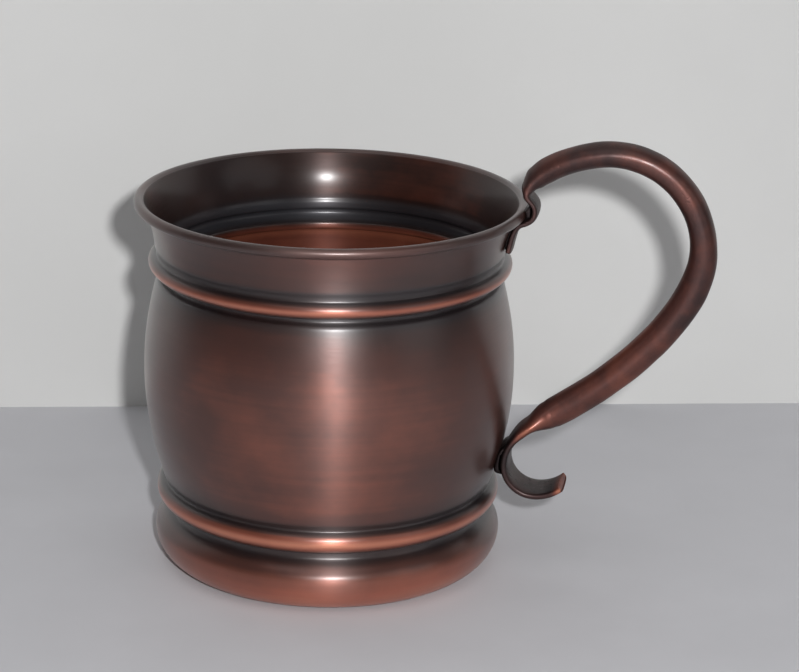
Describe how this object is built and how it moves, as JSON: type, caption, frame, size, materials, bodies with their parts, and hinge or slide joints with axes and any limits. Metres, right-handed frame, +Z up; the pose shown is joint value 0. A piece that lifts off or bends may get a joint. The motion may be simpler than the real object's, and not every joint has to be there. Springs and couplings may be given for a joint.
{
  "type": "copper mug",
  "caption": "Spun copper mug with a flared rolled rim, beads above and below a swelling barrel, a rounded foot and a looped tube handle.",
  "frame": {"origin": "centre of the flat that the mug stands on, on the axis of the shell", "axes": "+Z up along the axis of the shell, +X towards the handle"},
  "size_m": [0.1446, 0.098, 0.1123],
  "materials": {
    "shell_copper": "antique copper, oxidised and relief-polished",
    "handle_copper": "antique copper, oxidised dark",
    "solder": "dull soft solder"
  },
  "bodies": {
    "root": {"mug_body": "shell_copper", "handle": "handle_copper", "neck_solder": "solder", "rim_solder": "solder", "seat_solder": "solder"}
  },
  "joints": []
}
